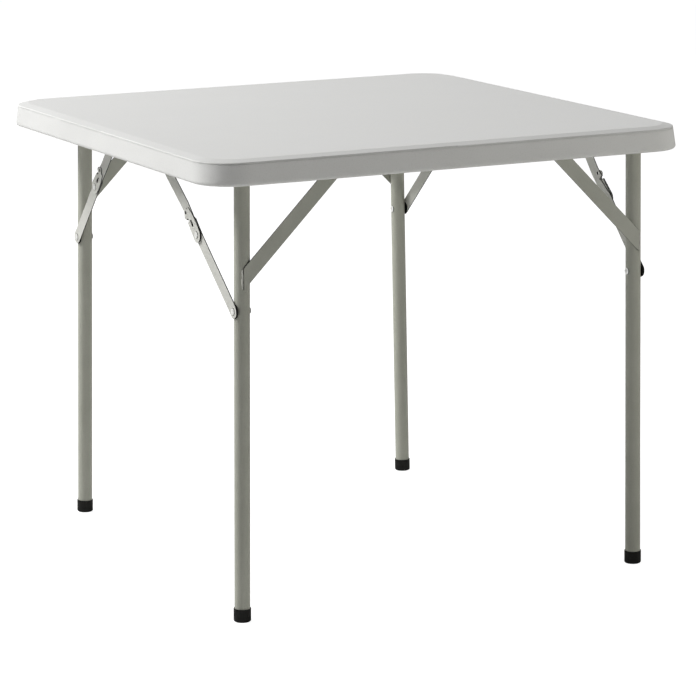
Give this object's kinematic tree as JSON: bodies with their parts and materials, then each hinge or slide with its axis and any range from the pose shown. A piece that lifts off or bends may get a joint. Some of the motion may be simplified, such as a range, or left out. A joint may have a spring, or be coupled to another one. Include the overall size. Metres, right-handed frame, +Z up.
{
  "type": "folding card table",
  "caption": "Square folding card table with a moulded off-white top and grey tube legs that fold flat under it",
  "frame": {"origin": "centre of the footprint on the floor", "axes": "+Z up, hinge shafts along X, wide leg frame on the -Y side"},
  "size_m": [0.8592, 0.8592, 0.74],
  "materials": {
    "plastic": "moulded off-white polyethylene with a fine matt texture",
    "paint": "warm light grey powder paint, satin",
    "black_plastic": "matt black moulded plastic",
    "plated_steel": "zinc-plated strip",
    "rivet_steel": "zinc-plated rivet, lightly domed",
    "screw_steel": "zinc-plated cross-head screw"
  },
  "bodies": {
    "tabletop": {"tabletop": "plastic", "strap_screws": "screw_steel", "bracket_screws": "screw_steel", "wide_hinge_strap_left": "plated_steel", "wide_left_bracket": "paint", "wide_left_bracket_pin": "rivet_steel", "wide_hinge_strap_right": "plated_steel", "wide_right_bracket": "paint", "wide_right_bracket_pin": "rivet_steel", "narrow_hinge_strap_left": "plated_steel", "narrow_left_bracket": "paint", "narrow_left_bracket_pin": "rivet_steel", "narrow_hinge_strap_right": "plated_steel", "narrow_right_bracket": "paint", "narrow_right_bracket_pin": "rivet_steel"},
    "wide_frame": {"wide_crossbar": "paint", "wide_crossbar_caps": "black_plastic", "wide_leg_left": "paint", "wide_brace_left": "paint", "wide_foot_left": "black_plastic", "wide_left_leg_rivet": "rivet_steel", "wide_left_spacer": "black_plastic", "wide_leg_right": "paint", "wide_brace_right": "paint", "wide_foot_right": "black_plastic", "wide_right_leg_rivet": "rivet_steel", "wide_right_spacer": "black_plastic"},
    "narrow_frame": {"narrow_crossbar": "paint", "narrow_crossbar_caps": "black_plastic", "narrow_leg_left": "paint", "narrow_brace_left": "paint", "narrow_foot_left": "black_plastic", "narrow_left_leg_rivet": "rivet_steel", "narrow_left_spacer": "black_plastic", "narrow_leg_right": "paint", "narrow_brace_right": "paint", "narrow_foot_right": "black_plastic", "narrow_right_leg_rivet": "rivet_steel", "narrow_right_spacer": "black_plastic"},
    "wide_left_lower_stay": {"wide_left_lower_arm": "paint", "wide_left_joint_rivet_tail": "rivet_steel"},
    "wide_left_upper_stay": {"wide_left_upper_arm": "paint", "wide_left_lock_plate": "paint", "wide_left_joint_rivet_head": "rivet_steel"},
    "wide_right_lower_stay": {"wide_right_lower_arm": "paint", "wide_right_joint_rivet_tail": "rivet_steel"},
    "wide_right_upper_stay": {"wide_right_upper_arm": "paint", "wide_right_lock_plate": "paint", "wide_right_joint_rivet_head": "rivet_steel"},
    "narrow_left_lower_stay": {"narrow_left_lower_arm": "paint", "narrow_left_joint_rivet_tail": "rivet_steel"},
    "narrow_left_upper_stay": {"narrow_left_upper_arm": "paint", "narrow_left_lock_plate": "paint", "narrow_left_joint_rivet_head": "rivet_steel"},
    "narrow_right_lower_stay": {"narrow_right_lower_arm": "paint", "narrow_right_joint_rivet_tail": "rivet_steel"},
    "narrow_right_upper_stay": {"narrow_right_upper_arm": "paint", "narrow_right_lock_plate": "paint", "narrow_right_joint_rivet_head": "rivet_steel"}
  },
  "joints": [
    {"name": "wide_fold", "type": "hinge", "parent": "tabletop", "child": "wide_frame", "pos_m": [0, -0.378, 0.706], "axis": [1, 0, 0], "range_deg": [0, 87.5]},
    {"name": "narrow_fold", "type": "hinge", "parent": "tabletop", "child": "narrow_frame", "pos_m": [0, 0.366, 0.706], "axis": [-1, 0, 0], "range_deg": [0, 90.5]},
    {"name": "wide_left_lower_pivot", "type": "hinge", "parent": "wide_frame", "child": "wide_left_lower_stay", "pos_m": [-0.36935, -0.378, 0.498], "axis": [-1, 0, 0], "range_deg": [0, 129.62]},
    {"name": "wide_left_upper_pivot", "type": "hinge", "parent": "tabletop", "child": "wide_left_upper_stay", "pos_m": [-0.38245, -0.15788, 0.69693], "axis": [1, 0, 0], "range_deg": [0, 137.9]},
    {"name": "wide_right_lower_pivot", "type": "hinge", "parent": "wide_frame", "child": "wide_right_lower_stay", "pos_m": [0.36935, -0.378, 0.498], "axis": [-1, 0, 0], "range_deg": [0, 129.62]},
    {"name": "wide_right_upper_pivot", "type": "hinge", "parent": "tabletop", "child": "wide_right_upper_stay", "pos_m": [0.38245, -0.15788, 0.69693], "axis": [1, 0, 0], "range_deg": [0, 137.9]},
    {"name": "narrow_left_lower_pivot", "type": "hinge", "parent": "narrow_frame", "child": "narrow_left_lower_stay", "pos_m": [-0.3253, 0.36782, 0.498], "axis": [1, 0, 0], "range_deg": [0, 135.22]},
    {"name": "narrow_left_upper_pivot", "type": "hinge", "parent": "tabletop", "child": "narrow_left_upper_stay", "pos_m": [-0.3339, 0.15767, 0.706], "axis": [-1, 0, 0], "range_deg": [0, 135.3]},
    {"name": "narrow_right_lower_pivot", "type": "hinge", "parent": "narrow_frame", "child": "narrow_right_lower_stay", "pos_m": [0.3253, 0.36782, 0.498], "axis": [1, 0, 0], "range_deg": [0, 135.22]},
    {"name": "narrow_right_upper_pivot", "type": "hinge", "parent": "tabletop", "child": "narrow_right_upper_stay", "pos_m": [0.3339, 0.15767, 0.706], "axis": [-1, 0, 0], "range_deg": [0, 135.3]}
  ],
  "couplings": [
    {"joint": "wide_left_lower_pivot", "follows": "wide_fold", "ratio": 1.4812},
    {"joint": "wide_left_upper_pivot", "follows": "wide_fold", "ratio": 1.5759},
    {"joint": "wide_right_lower_pivot", "follows": "wide_fold", "ratio": 1.4812},
    {"joint": "wide_right_upper_pivot", "follows": "wide_fold", "ratio": 1.5759},
    {"joint": "narrow_left_lower_pivot", "follows": "narrow_fold", "ratio": 1.494},
    {"joint": "narrow_left_upper_pivot", "follows": "narrow_fold", "ratio": 1.495},
    {"joint": "narrow_right_lower_pivot", "follows": "narrow_fold", "ratio": 1.494},
    {"joint": "narrow_right_upper_pivot", "follows": "narrow_fold", "ratio": 1.495}
  ]
}
